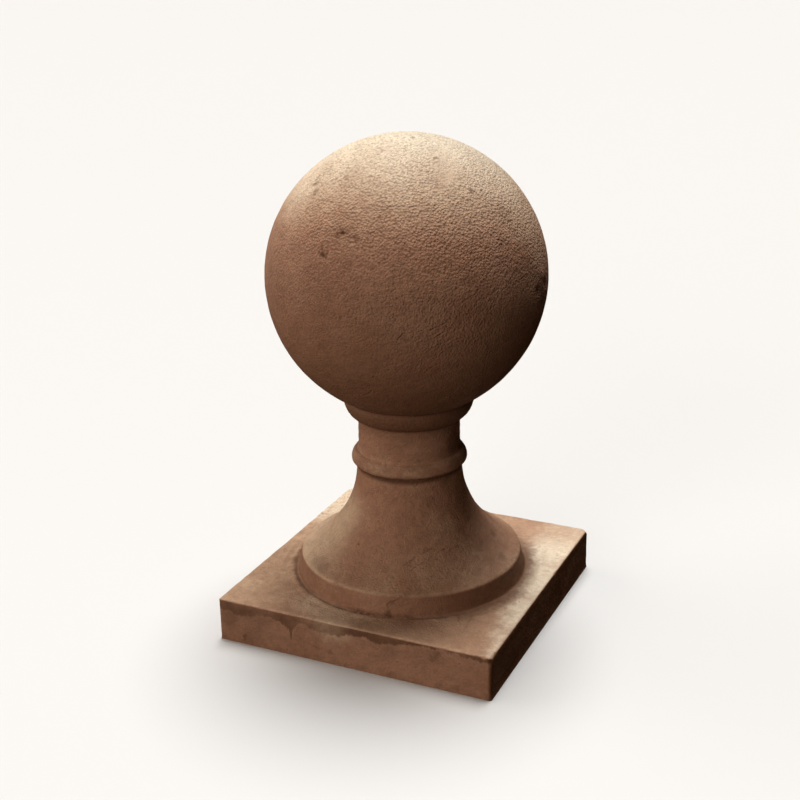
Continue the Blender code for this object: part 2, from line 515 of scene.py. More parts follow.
def weatherSkin(mesh):
    dents = [(ballPoint(turn, lat), radius, deep) for turn, lat, radius, deep in ballDents]
    half = casting["side"] / 2
    moved = []
    for vertex in mesh.vertices:
        p = vertex.co.copy()
        normal = vertex.normal.copy()
        inCove = math.hypot(p.x, p.y) < coveRadius - 1e-4 and p.z > casting["plinthHeight"] / 2
        if p.z > level["seat"]:
            p += normal * (ballDepth(p, dents) - skin["drawIn"])
        elif p.z > casting["plinthHeight"] + 1e-5 or inCove:
            p += normal * (stemDepth(p) - skin["drawIn"])
        elif p.z > 1e-5:
            fade = ease(0.0, skin["standsFlat"], p.z)
            p += plinthShift(p, normal) * fade - normal * skin["plinthDrawIn"]
        # the plinth stands flat, and nothing passes the solid's box
        p.x = max(-half, min(half, p.x))
        p.y = max(-half, min(half, p.y))
        p.z = max(0.0, min(casting["height"], p.z))
        moved.append(p)
    for vertex, p in zip(mesh.vertices, moved):
        vertex.co = p
    mesh.update()
    mesh.shade_smooth()
    mesh.set_sharp_from_angle(angle=math.radians(skin["creaseDeg"]))


# finish of the cast stone

stone = {
    "brown": (0.318, 0.157, 0.093, 1),       # the body colour where it is neither paled nor darkened
    "tan": (0.388, 0.210, 0.134, 1),
    "shadedUnderside": (0.215, 0.098, 0.050, 1),   # faces that look down: painted shade
    "washedAndLit": (0.500, 0.345, 0.225, 1),      # faces that look up: painted light, with some rain wash
    "fawn": (0.620, 0.440, 0.305, 1),        # wiped places, and painted half-light on the crown's shoulder and the bell's left flank
    "bleachedAndLit": (0.820, 0.725, 0.570, 1),    # the crown of the ball and the lit parts of the plinth's top: painted highlight, partly weather bleaching
    "dirt": (0.088, 0.034, 0.014, 1),
    "stainAndShade": (0.140, 0.062, 0.030, 1),
    "darkened": (0.104, 0.036, 0.008, 1),        # the +X side of the plinth: painted shade, and dirt
    "strokeDepth": 0.0012,
    "scratchDepth": 0.0007,
    "grainDepth": 0.0008,
    "roughness": 0.70,
    "sheen": 0.25,                           # cast stone hardly shines
}

# dark marks on the ball: turn and latitude in degrees, size in metres, strength
ballMarks = (
    (-101.7, 23.4, 0.0042, 0.70),
    (-101.2, 21.4, 0.0044, 0.85),
    (-99.4, 20.6, 0.0042, 0.75),
    (-98.6, 22.6, 0.0036, 0.70),
    (-99.0, 24.9, 0.0036, 0.60),
    (-96.0, 28.8, 0.0050, 0.65),
    (-92.7, 29.5, 0.0048, 0.72),
    (-90.4, 30.2, 0.0042, 0.60),
    (-88.2, 28.8, 0.0042, 0.55),
    (-86.6, 27.7, 0.0046, 0.62),
    (-93.5, 29.2, 0.0180, 0.20),
    (-97.0, 31.5, 0.0160, 0.10),
    (-88.7, 18.0, 0.0150, 0.20),
    (1.0, -2.6, 0.0190, 0.55),
    (8.0, -6.0, 0.0200, 0.45),
    (-112.0, 49.0, 0.0045, 0.40),
    (-104.0, 53.0, 0.0040, 0.40),
    (-60.0, 52.0, 0.0035, 0.40),
    (-131.0, 49.6, 0.0060, 0.45),
    (-125.9, 46.8, 0.0070, 0.55),
    (-120.8, 44.5, 0.0060, 0.50),
    (-41.0, 82.5, 0.0050, 0.60),
    (-39.0, 64.0, 0.0026, 0.50),
    (-53.8, 57.8, 0.0034, 0.45),
    (-26.9, 44.7, 0.0054, 0.85),
    (-14.0, 32.8, 0.016, 0.25),
    (-68.0, -8.6, 0.006, 0.25),
    (38.0, 31.0, 0.008, 0.50),
    (104.0, 12.0, 0.010, 0.40),
    (151.0, 39.0, 0.008, 0.45),
    (-170.0, -12.0, 0.009, 0.35),
)

# dirt on the rest of the casting, and some painted shade: place, size, strength
stemMarks = (
    ((-0.0257, -0.0799, 0.1058), 0.0040, 0.80),
    # painted shade on the right of the neck and the ring
    ((0.0530, 0.0190, 0.2030), 0.0200, 0.75),
    ((0.0560, -0.0050, 0.2110), 0.0180, 0.60),
    ((0.0600, -0.0170, 0.1890), 0.0140, 0.30),
    ((0.0925, 0.0214, 0.0940), 0.0110, 0.45),
    ((0.1110, -0.0020, 0.0810), 0.0100, 0.40),
    ((0.0438, -0.0438, 0.1510), 0.0100, 0.30),
    ((0.0500, -0.0440, 0.1740), 0.0120, 0.45),
    ((0.0335, -0.1205, 0.0665), 0.0050, 0.40),
    ((0.0312, -0.1244, 0.0526), 0.0070, 0.65),
    ((-0.1260, -0.1600, 0.0400), 0.0160, 0.35),
    ((-0.1060, -0.1600, 0.0310), 0.0170, 0.25),
    ((-0.1450, -0.1600, 0.0280), 0.0180, 0.30),
    ((-0.1180, -0.1600, 0.0130), 0.0180, 0.25),
    ((0.0470, -0.1600, 0.0300), 0.0130, 0.22),
    ((-0.1245, -0.0480, 0.0500), 0.0120, 0.32),
    ((-0.1120, -0.0690, 0.0500), 0.0110, 0.30),
    ((-0.0980, -0.0870, 0.0500), 0.0100, 0.22),
    ((-0.0720, -0.0910, 0.0775), 0.0180, 0.25),
    ((-0.0600, -0.1000, 0.0770), 0.0120, 0.22),
    # painted shadow of the ball on the plinth's top, in front of the step
    ((0.0420, -0.1420, 0.0500), 0.0500, 0.10),
    ((0.0850, -0.1350, 0.0500), 0.0450, 0.10),
    ((-0.0060, -0.1290, 0.0510), 0.0055, 0.60),
    ((0.0100, -0.1290, 0.0510), 0.0050, 0.60),
    ((0.0020, -0.1300, 0.0510), 0.0050, 0.60),
    ((0.1585, -0.1590, 0.0490), 0.0045, 0.60),
    # painted shade under the ring, at the right
    ((0.0520, -0.0240, 0.1720), 0.0110, 0.45),
    ((0.1016, -0.1600, 0.0370), 0.0090, 0.30),
    ((0.0950, -0.1600, 0.0350), 0.0060, 0.30),
    ((0.1500, -0.1560, 0.0480), 0.0080, 0.35),
    ((-0.1280, -0.1600, 0.0087), 0.0060, 0.50),
    ((-0.0230, -0.1600, 0.0158), 0.0060, 0.40),
    ((-0.0500, 0.0850, 0.0920), 0.0120, 0.45),
    ((-0.1020, 0.0300, 0.0800), 0.0130, 0.40),
    ((0.0300, 0.1600, 0.0300), 0.0130, 0.50),
    ((-0.1600, 0.0500, 0.0350), 0.0120, 0.50),
    ((0.1600, -0.0500, 0.0380), 0.0120, 0.50),
)

# paler, cleaner patches: place, size, strength
palePatches = (
    ((-0.0500, -0.0280, 0.1860), 0.0260, 0.35),
    ((-0.0080, -0.0630, 0.1860), 0.0260, 0.35),
    ((0.0300, -0.0560, 0.1850), 0.0260, 0.30),
    ((-0.0660, -0.0900, 0.0830), 0.0320, 0.45),
    ((-0.0350, -0.0660, 0.1250), 0.0280, 0.15),
    ((-0.1150, -0.1150, 0.0500), 0.0350, 0.12),
    ((-0.0850, -0.1370, 0.0500), 0.0200, 0.40),
    ((-0.0530, -0.1240, 0.0500), 0.0260, 0.60),
    ((-0.0480, -0.1450, 0.0500), 0.0240, 0.40),
    ((-0.0210, -0.1430, 0.0500), 0.0300, 0.95),
    ((-0.0360, -0.1330, 0.0500), 0.0260, 0.60),
    ((-0.1400, 0.0900, 0.0500), 0.0600, 0.90),
    ((-0.1500, 0.1500, 0.0500), 0.0600, 0.90),
    ((0.0600, 0.0900, 0.0800), 0.0350, 0.45),
    ((0.0910, -0.0380, 0.0870), 0.0380, 0.40),
    ((0.0600, -0.0420, 0.1200), 0.0300, 0.30),
    ((-0.0400, 0.0950, 0.0780), 0.0350, 0.40),
)

# places wiped nearly clean: place, size, strength
wipedPatches = (
    ((-0.0500, -0.1240, 0.0500), 0.0280, 0.80),
    ((-0.0560, -0.1300, 0.0500), 0.0320, 0.80),
    ((-0.0200, -0.1450, 0.0500), 0.0340, 0.85),
    ((-0.0360, -0.1330, 0.0500), 0.0260, 0.55),
)

# scratches and tool marks: from, to, half width, strength
scratches = (
    (ballPoint(-68.8, -9.0), ballPoint(-67.2, -6.5), 0.0013, 0.9),
    (ballPoint(-56.5, -5.4), ballPoint(-50.9, -2.7), 0.0012, 0.8),
    (ballPoint(-55.3, -8.7), ballPoint(-48.5, -5.3), 0.0012, 0.8),
    (ballPoint(-53.7, -11.8), ballPoint(-47.2, -9.1), 0.0012, 0.7),
    (ballPoint(-87.6, -35.3), ballPoint(-81.5, -30.8), 0.0014, 0.7),
    (ballPoint(-88.2, -39.7), ballPoint(-82.8, -36.0), 0.0014, 0.6),
    (ballPoint(-59.8, -36.7), ballPoint(-49.9, -35.2), 0.0013, 0.8),
    (ballPoint(-56.9, -40.7), ballPoint(-46.1, -40.0), 0.0013, 0.7),
    (ballPoint(70.0, 5.0), ballPoint(78.0, 9.0), 0.0013, 0.7),
    (ballPoint(160.0, -14.0), ballPoint(168.0, -10.0), 0.0013, 0.7),
    (Vector((0.0301, -0.0897, 0.0937)), Vector((0.0535, -0.0628, 0.1071)), 0.0012, 0.8),
    (Vector((0.0413, -0.0887, 0.0907)), Vector((0.0656, -0.0527, 0.1048)), 0.0012, 0.9),
    (Vector((0.0606, -0.0685, 0.0968)), Vector((0.0744, -0.0402, 0.1043)), 0.0011, 0.7),
    (Vector((0.0420, -0.1160, 0.0720)), Vector((0.0285, -0.1230, 0.0640)), 0.0020, 1.0),
    (Vector((0.0285, -0.1230, 0.0640)), Vector((0.0310, -0.1245, 0.0540)), 0.0018, 1.0),
    (Vector((0.0872, -0.1600, 0.0380)), Vector((0.1038, -0.1600, 0.0330)), 0.0015, 0.9),
    (Vector((0.1017, -0.1600, 0.0393)), Vector((0.1149, -0.1600, 0.0340)), 0.0013, 0.8),
    (Vector((-0.0592, -0.1600, 0.0208)), Vector((-0.0330, -0.1600, 0.0140)), 0.0012, 0.6),
    (Vector((-0.1317, -0.1600, 0.0400)), Vector((-0.1190, -0.1600, 0.0330)), 0.0013, 0.7),
    (Vector((0.0130, -0.1600, 0.0375)), Vector((0.0336, -0.1600, 0.0300)), 0.0013, 0.6),
    (Vector((0.0952, -0.0930, 0.0500)), Vector((0.1080, -0.1120, 0.0500)), 0.0022, 0.7),
    (Vector((0.1094, -0.0865, 0.0500)), Vector((0.1138, -0.1140, 0.0500)), 0.0022, 0.6),
    (Vector((-0.0880, -0.1271, 0.0500)), Vector((-0.0376, -0.1340, 0.0500)), 0.0018, 0.35),
)


markCore = 0.25                          # share of a mark's size that has its full strength


class Shader:
    # adds nodes and links them
    def __init__(self, name):
        self.material = bpy.data.materials.new(name)
        self.material.use_nodes = True
        self.tree = self.material.node_tree
        self.out = self.tree.nodes["Principled BSDF"]

    def plug(self, socket, value):
        if isinstance(value, bpy.types.NodeSocket):
            self.tree.links.new(value, socket)
        else:
            socket.default_value = value

    def add(self, kind, inputs=None, **settings):
        node = self.tree.nodes.new(kind)
        for key, value in settings.items():
            setattr(node, key, value)
        for key, value in (inputs or {}).items():
            self.plug(node.inputs[key], value)
        return node

    def math(self, operation, a, b=0.0):
        return self.add("ShaderNodeMath", {0: a, 1: b}, operation=operation).outputs[0]

    def times(self, a, b):
        return self.math("MULTIPLY", a, b)

    def plus(self, a, b):
        return self.math("ADD", a, b)

    def minus(self, a, b):
        return self.math("SUBTRACT", a, b)

    def rest(self, share):
        return self.minus(1.0, share)

    def most(self, first, *others):
        for other in others:
            first = self.math("MAXIMUM", first, other)
        return first

    def vector(self, operation, a, b, output="Vector"):
        return self.add("ShaderNodeVectorMath", {0: a, 1: b}, operation=operation).outputs[output]

    def spread(self, value, low, high, toLow=0.0, toHigh=1.0):
        return self.add("ShaderNodeMapRange", {"Value": value, "From Min": low, "From Max": high,
                                               "To Min": toLow, "To Max": toHigh},
                        interpolation_type="SMOOTHSTEP").outputs[0]

    def spreadFrom(self, value, start, low, high, toLow=0.0, toHigh=1.0):
        # the same, with both ends measured from a level or a radius of the casting
        return self.spread(value, start + low, start + high, toLow, toHigh)

    def band(self, value, middle, half):
        # 1 in the middle of a band, 0 past its two edges
        return self.spread(self.math("ABSOLUTE", self.minus(value, middle)), half, 0.0)

    def wander(self, value, share):
        # a place made ragged, by a share of the torn edge's reach
        return self.plus(value, self.times(self.torn, share))

    def noise(self, where, scale, detail=3.0, roughness=0.5, distortion=0.0):
        return self.add("ShaderNodeTexNoise", {"Vector": where, "Scale": scale, "Detail": detail,
                                               "Roughness": roughness, "Distortion": distortion}).outputs["Fac"]

    def jitter(self, where, scale, reach):
        # the same place, shaken a little, so that edges come out ragged
        shake = self.add("ShaderNodeTexNoise", {"Vector": where, "Scale": scale, "Detail": 4.0})
        shake = self.vector("SUBTRACT", shake.outputs["Color"], (0.5, 0.5, 0.5))
        return self.add("ShaderNodeVectorMath", {0: shake, 1: (reach, reach, reach), 2: where},
                        operation="MULTIPLY_ADD").outputs[0]

    def mix(self, share, a, b, blend="MIX"):
        node = self.add("ShaderNodeMix", data_type="RGBA", blend_type=blend)
        self.plug(node.inputs[0], share)
        self.plug(node.inputs[6], a)
        self.plug(node.inputs[7], b)
        return node.outputs[2]

    def grey(self, value):
        return self.add("ShaderNodeCombineColor", {0: value, 1: value, 2: value}).outputs[0]

    def bump(self, height, depth, under=None):
        inputs = {"Height": height, "Strength": 1.0, "Distance": depth}
        if under is not None:
            inputs["Normal"] = under
        return self.add("ShaderNodeBump", inputs).outputs[0]

    def scratchMarks(self, where, lines):
        # 1 along each line, 0 past its half width
        total = 0.0
        for start, end, halfWidth, strength in lines:
            run = end - start
            out = self.vector("SUBTRACT", where, start)
            along = self.vector("DOT_PRODUCT", out, run / run.length_squared, "Value")
            along = self.math("MINIMUM", self.math("MAXIMUM", along, 0.0), 1.0)
            nearest = self.add("ShaderNodeVectorMath", {0: run, "Scale": along}, operation="SCALE").outputs[0]
            away = self.vector("DISTANCE", out, nearest, "Value")
            total = self.most(total, self.spread(away, halfWidth, 0.0, 0.0, strength))
        return total

    def marks(self, where, places):
        # soft spots added up, each with its own strength
        total = 0.0
        for place, size, strength in places:
            away = self.vector("DISTANCE", where, place, "Value")
            total = self.plus(total, self.spread(away, size, size * markCore, 0.0, strength))
        return self.math("MINIMUM", total, 1.0)


# zones of the casting: where each starts and where it is full
zones = {
    "ball": (0.0, 0.003),                # metres above the seat
    "plinth": (0.0015, 0.0006),          # above the plinth's top
    "stepUnder": (-0.001, -0.004),       # above the step's rim
    "stepWithin": (0.002, -0.001),       # out from the cove
    "stepAbove": (-0.002, 0.001),        # above the plinth's top
    "sideUnder": (0.001, 0.0),
    "looksUp": (0.5, 0.9),               # upward share of the way a face looks
    "looksOut": (0.55, 0.25),
}


def findZones(s):
    # where on the casting a point lies, for all that follows
    s.where = s.add("ShaderNodeTexCoord").outputs["Object"]
    spot = s.add("ShaderNodeSeparateXYZ", {0: s.where})
    s.x, s.y, s.height = spot.outputs["X"], spot.outputs["Y"], spot.outputs["Z"]
    flat = s.add("ShaderNodeCombineXYZ", {0: s.x, 1: s.y}).outputs[0]
    s.radius = s.add("ShaderNodeVectorMath", {0: flat}, operation="LENGTH").outputs["Value"]
    normal = s.add("ShaderNodeNewGeometry").outputs["Normal"]
    s.facing = s.add("ShaderNodeSeparateXYZ", {0: normal}).outputs["Z"]
    s.onBall = s.spreadFrom(s.height, level["seat"], *zones["ball"])
    s.onPlinth = s.spreadFrom(s.height, level["plinth"], *zones["plinth"])
    stepSide = s.times(s.spreadFrom(s.height, level["step"], *zones["stepUnder"]),
                       s.spreadFrom(s.radius, coveRadius, *zones["stepWithin"]))
    s.onStepSide = s.times(stepSide, s.spreadFrom(s.height, level["plinth"], *zones["stepAbove"]))
    s.onTop = s.times(s.onPlinth, s.spread(s.facing, *zones["looksUp"]))
    s.onSides = s.times(s.spread(s.facing, *zones["looksOut"]),
                        s.spreadFrom(s.height, level["plinth"], *zones["sideUnder"]))


# noises shared by colour and relief: scale, detail, roughness, distortion
grain = {
    "drift": (7, 5, 0.55, 0.8),
    "clouds": (26, 5, 0.6, 0.5),
    "flecks": (120, 4, 0.65, 0.3),
    "grit": (900, 3, 0.6),
    "tornClouds": 0.012,                 # how far clouds and flecks tear an edge, in metres
    "tornFlecks": 0.010,
    "shake": (75, 0.020),                # scale and reach
    "strokes": (200, 3, 0.6, 0.8),
    "strokeTurn": (0.0, -0.45, 0.35),
    "strokeStretch": (3.0, 3.0, 1.0),
    "strokesOffPlinth": (0.0, 0.004, 0.30, 1.0),     # metres above the plinth, and the share there
    "strokesLost": (0.0, 0.12, 0.0, 0.8),            # metres above the seat, and the share lost
}


def stoneGrain(s):
    s.drift = s.noise(s.where, *grain["drift"])
    s.clouds = s.noise(s.where, *grain["clouds"])
    s.flecks = s.noise(s.where, *grain["flecks"])
    s.grit = s.noise(s.where, *grain["grit"])
    s.torn = s.plus(s.times(s.minus(s.clouds, 0.5), grain["tornClouds"]),
                    s.times(s.minus(s.flecks, 0.5), grain["tornFlecks"]))
    s.jittered = s.jitter(s.where, *grain["shake"])
    # strokes of the brush and float run slanting round the work
    slant = s.add("ShaderNodeMapping", {"Vector": s.jittered, "Rotation": grain["strokeTurn"],
                                        "Scale": grain["strokeStretch"]}, vector_type="TEXTURE").outputs[0]
    s.strokes = s.noise(slant, *grain["strokes"])
    s.strokeShare = s.minus(s.spreadFrom(s.height, level["plinth"], *grain["strokesOffPlinth"]),
                            s.spreadFrom(s.height, level["seat"], *grain["strokesLost"]))


# orange peel: strongest high on the ball, slight at its foot and on the plinth
peel = {
    "depth": 0.0029,
    "wave": 430,                         # bumps per metre
    "wander": (0.3, 0.7, -0.03, 0.03),   # the drift lifts and lowers its edge by this much
    "grows": (0.30, 0.42, 0.28, 1.0),    # from and to these heights, and its share there
    "worms": (1.0, 0.5, 0.12),           # detail, roughness, distortion
    "pebbleWave": 0.55,                  # of the wave
    "pebbles": (1.5, 0.5, 0.1),
    "pebbleShare": 0.3,
    "cellShake": (380, 0.0014),
    "cellWave": 400.0,
    "cellSoftness": 0.45,
    "cellTop": 0.86,
    "cellDrop": 0.72,
    "cellShare": 0.7,                    # of the height, once the cells are full
    "cellsFrom": (0.40, 0.47),
    # where the brush swirled it smooth, and the smooth left edge of the ball
    "swirl": ((ballPoint(-8, 72), 0.018, 0.35), (ballPoint(-27, 65), 0.019, 0.40),
              (ballPoint(-34, 57), 0.022, 0.40), (ballPoint(-40, 51), 0.022, 0.35)),
    "smooth": ((ballPoint(-152, 30), 0.090, 0.65), (ballPoint(-150, -5), 0.080, 0.5)),
}


def orangePeel(s):
    line = s.plus(s.height, s.spread(s.drift, *peel["wander"]))
    s.swirl = s.marks(s.jittered, peel["swirl"])
    smooth = s.marks(s.where, peel["smooth"])
    s.peelShare = s.times(s.spread(line, *peel["grows"]), s.rest(s.most(s.swirl, smooth)))
    worms = s.noise(s.where, peel["wave"], *peel["worms"])
    pebbles = s.noise(s.where, peel["wave"] * peel["pebbleWave"], *peel["pebbles"])
    wavy = s.plus(s.times(worms, 1 - peel["pebbleShare"]), s.times(pebbles, peel["pebbleShare"]))
    cells = s.add("ShaderNodeTexVoronoi", {"Vector": s.jitter(s.where, *peel["cellShake"]),
                                           "Scale": peel["cellWave"], "Smoothness": peel["cellSoftness"]},
                  feature="SMOOTH_F1").outputs["Distance"]
    pebbly = s.minus(peel["cellTop"], s.times(cells, peel["cellDrop"]))
    pebbled = s.spread(line, *peel["cellsFrom"])
    s.peel = s.plus(s.times(wavy, s.rest(s.times(pebbled, peel["cellShare"]))),
                    s.times(s.times(pebbly, pebbled), peel["cellShare"]))


# rain wash, with painted light on faces that look up and on the bell's left flank, and painted shade on faces
# that look down: pairs are from and to, a second pair is the share at each
washAndShading = {
    "driftShare": 0.6,                   # the rest of the unevenness is clouds
    "brownToTan": (0.36, 0.64),
    "looksDown": (0.15, -0.8),
    "looksUp": (0.35, 0.98),
    "uneven": (0.40, 0.58),
    "least": (0.35, 0.62),               # off the plinth, and on it
    "offBall": 0.4,                      # share of the wash on the rest of the casting
    "patchGrain": (0.28, 0.58, 0.3, 1.0),
    "flankTurn": (-0.30, -0.85),         # how far to the left, as x over the radius
    "flankBack": (0.06, 0.0),
    "flankFoot": (-0.002, 0.0),          # metres above the step
    "flankTop": (0.158, 0.115),
    "flankGrain": (0.28, 0.58, 0.55, 0.95),
    "flankFawn": 0.75,
    "swirlShare": 0.35,
}


def bellLitFlank(s):
    # painted light: the bell's left flank, which the light from the left falls on, is paler, as one soft sweep
    leftward = s.math("DIVIDE", s.plus(s.x, s.torn), s.radius)
    litFlank = s.times(s.spread(leftward, *washAndShading["flankTurn"]), s.spread(s.y, *washAndShading["flankBack"]))
    return s.times(litFlank, s.times(s.spreadFrom(s.height, level["step"], *washAndShading["flankFoot"]),
                                  s.spread(s.height, *washAndShading["flankTop"])))


def bodyColour(s, litFlank):
    uneven = s.plus(s.times(s.drift, washAndShading["driftShare"]), s.times(s.clouds, 1 - washAndShading["driftShare"]))
    colour = s.mix(s.spread(uneven, *washAndShading["brownToTan"]), stone["brown"], stone["tan"])
    # painted shade: darker on faces that look down
    colour = s.mix(s.spread(s.facing, *washAndShading["looksDown"]), colour, stone["shadedUnderside"])
    least = s.spread(s.onPlinth, 0.0, 1.0, *washAndShading["least"])
    # painted light with some rain wash: paler on faces that look up
    washedAndLit = s.times(s.spread(s.facing, *washAndShading["looksUp"]), s.spread(uneven, *washAndShading["uneven"], least, 1.0))
    washedAndLit = s.times(washedAndLit, s.plus(s.times(s.onBall, 1 - washAndShading["offBall"]), washAndShading["offBall"]))
    patches = s.times(s.marks(s.jittered, palePatches), s.rest(s.onStepSide))
    patches = s.times(patches, s.spread(s.flecks, *washAndShading["patchGrain"]))
    washedAndLit = s.most(washedAndLit, patches, s.times(litFlank, s.spread(s.flecks, *washAndShading["flankGrain"])))
    return s.mix(washedAndLit, colour, stone["washedAndLit"])


# the ball's pale crown, a painted highlight with some weather bleaching: heights in metres, and how much its
# edge rises at the back, left and right
crown = {
    "from": 0.474,                       # where it starts to pale, and where it is palest
    "full": 0.564,
    "ragged": 0.05,
    "shoulderUnder": 0.020,              # the half-lit shoulder, painted light, starts this much lower
    "rear": (-0.050, -0.005, 0.0, 0.038),
    "rearFade": (0.10, 0.04, 0.5, 1.0),
    "left": (-0.04, -0.09, 0.0, 0.030),
    "right": (0.085, 0.122, 0.0, 0.026),
    "rearShare": 0.35,                   # share of these that the crown itself takes
    "leftShare": 0.7,
}


def crownColour(s, colour):
    # painted highlight, partly weather bleaching: the crown pales upwards, its edge lower at the back, left and
    # right where light falls
    line = s.plus(s.height, s.times(s.minus(s.clouds, 0.5), crown["ragged"]))
    rear = s.times(s.spread(s.y, *crown["rear"]), s.spread(s.y, *crown["rearFade"]))
    left = s.spread(s.x, *crown["left"])
    right = s.spread(s.x, *crown["right"])
    shoulder = s.spread(s.plus(s.plus(line, rear), s.plus(left, right)),
                        crown["from"] - crown["shoulderUnder"], crown["full"])
    raised = s.plus(s.times(rear, crown["rearShare"]), s.times(left, crown["leftShare"]))
    s.crown = s.spread(s.plus(line, raised), crown["from"], crown["full"])
    colour = s.mix(shoulder, colour, stone["fawn"])
    return s.mix(s.crown, colour, stone["bleachedAndLit"])


def wipedColour(s, colour, litFlank):
    wiped = s.times(s.marks(s.jittered, wipedPatches), s.rest(s.onStepSide))
    colour = s.mix(s.most(s.times(litFlank, washAndShading["flankFawn"]), wiped), colour, stone["fawn"])
    return s.mix(s.times(s.swirl, washAndShading["swirlShare"]), colour, stone["washedAndLit"])


# the plinth's top: pale along the right and in the back left corner, painted light where the lamps fall on it;
# patchy on the left
plinthTop = {
    "lean": 0.22,                        # the pale right side widens towards the back, up to here
    "leanTo": 0.06,
    "rightTorn": 1.5,
    "right": (0.106, 0.142),
    "rightGrain": (0.35, 0.6, 0.52, 0.84),
    "backBreaks": (0.085, 0.135),
    "backGrain": (0.58, 0.74),
    "backFlecks": 0.4,
    "backShare": 0.65,
    "cornerLean": 0.8,
    "corner": (0.150, 0.215),
    "cornerGrain": (0.36, 0.50, 0.3, 1.0),
    "leftLean": -0.35,
    "left": (-0.035, -0.110),
    "leftShare": 0.5,
    "torn": 2.0,
    "cloudPatches": (0.50, 0.68),
    "cloudShare": 0.35,
    "patchGrain": (0.32, 0.52, 0.45, 1.0),
    "dull": (0.115, 0.070),
    "dullGrain": (0.56, 0.36),
    "dullShare": 0.10,
}


def plinthTopColour(s, colour):
    top = plinthTop
    # painted light: the right side of the top, where light falls past the ball, is paler, broken up in patches
    # towards the back
    across = s.plus(s.x, s.times(s.math("MINIMUM", s.y, top["leanTo"]), top["lean"]))
    across = s.wander(across, top["rightTorn"])
    right = s.times(s.onTop, s.spread(across, *top["right"]))
    backPatches = s.spread(s.plus(s.clouds, s.times(s.flecks, top["backFlecks"])), *top["backGrain"])
    backBreaks = s.times(s.spread(s.y, *top["backBreaks"]), backPatches)
    right = s.times(right, s.rest(s.times(backBreaks, top["backShare"])))
    colour = s.mix(s.times(right, s.spread(s.clouds, *top["rightGrain"])), colour, stone["bleachedAndLit"])
    # painted highlight in the back left corner
    toCorner = s.wander(s.minus(s.y, s.times(s.x, top["cornerLean"])), top["torn"])
    corner = s.times(s.onTop, s.spread(toCorner, *top["corner"]))
    colour = s.mix(s.times(corner, s.spread(s.flecks, *top["cornerGrain"])), colour, stone["bleachedAndLit"])
    toLeft = s.wander(s.plus(s.x, s.times(s.y, top["leftLean"])), top["torn"])
    left = s.times(s.onTop, s.spread(toLeft, *top["left"]))
    patchy = s.plus(s.times(left, top["leftShare"]),
                    s.times(s.spread(s.clouds, *top["cloudPatches"]), top["cloudShare"]))
    patchy = s.times(s.times(patchy, s.onTop), s.spread(s.flecks, *top["patchGrain"]))
    colour = s.mix(patchy, colour, stone["washedAndLit"])
    dull = s.times(s.onTop, s.times(s.spread(across, *top["dull"]), s.spread(s.clouds, *top["dullGrain"])))
    return s.mix(s.times(dull, top["dullShare"]), colour, stone["stainAndShade"])


# painted shade lines in the angles, partly dirt: level, metres above it, half width, raggedness, strength
angleShadeAndDirt = {
    "groove": ("bell", -0.0016, 0.0042, 0.30, 0.60),
    "grooveStainAndShade": ("bell", -0.0022, 0.0066, 0.45, 0.90),
    "neckTop": ("collar", -0.0006, 0.0024, 0.2, 0.5),
    "seat": ("seat", 0.0005, 0.0030, 0.2, 0.45),
}


def angleLine(s, name):
    start, above, half, ragged, strength = angleShadeAndDirt[name]
    return s.times(s.band(s.wander(s.height, ragged), level[start] + above, half), strength)


# grime, and painted shade under the ball and on the +X side of the plinth: pairs are from and to, a second pair
# is the share at each
grimeAndShade = {
    "seamHalf": 0.0016,
    "seamTorn": 0.10,
    "seamGrain": (16, 3),
    "seamBreaks": (0.38, 0.60, 0.0, 0.34),
    "seamEnds": (0.10, 0.03),
    "hollows": (0.50, 0.37),             # height of the peel below which dirt lies
    "hollowShare": (0.0, 0.5, 0.30, 0.36),
    "underBall": (0.012, -0.006),        # metres above the neck's foot, and above the seat
    "underBallShare": 0.80,
    "seatEnd": (0.006, -0.002),          # above the seat
    "specks": (0.64, 0.74),
    "speckShare": 0.55,
    "markGrain": (0.30, 0.55, 0.55, 1.0),
    "scratchShake": (120, 0.0050),
    "scratchGrain": (0.30, 0.50, 0.45, 1.0),
    "scratchShare": 0.40,
    "dark": (0.155, 0.159),              # the +X side of the plinth: painted shade, and dirt
    "darkGrain": (0.3, 0.6, 0.95, 0.75),
    "darkened": (0.010, 0.001),              # the sides are also darker towards the bottom
    "darkenedTorn": 1.2,
    "darkenedShare": 0.35,
}


def seamStain(s):
    # the casting seam shows as a faint broken line
    seamHeight = level["ball"] + casting["ballRadius"] * math.sin(math.radians(seamLatitude))
    line = s.band(s.wander(s.height, grimeAndShade["seamTorn"]), seamHeight, grimeAndShade["seamHalf"])
    line = s.times(line, s.spread(s.noise(s.where, *grimeAndShade["seamGrain"]), *grimeAndShade["seamBreaks"]))
    return s.times(line, s.spread(s.x, *grimeAndShade["seamEnds"]))


def ballStainAndShade(s):
    # dirt in the hollows of the peel, and painted shade all under the ball
    hollows = s.times(s.peelShare, s.spread(s.crown, *grimeAndShade["hollowShare"]))
    hollows = s.times(s.spread(s.peel, *grimeAndShade["hollows"]), hollows)
    # painted shade on the collar and the top of the neck, under the ball
    fromNeck, fromSeat = grimeAndShade["underBall"]
    under = s.spread(s.height, level["neck"] + fromNeck, level["seat"] + fromSeat, 0.0, grimeAndShade["underBallShare"])
    under = s.times(under, s.spreadFrom(s.height, level["seat"], *grimeAndShade["seatEnd"]))
    return s.most(hollows, under)


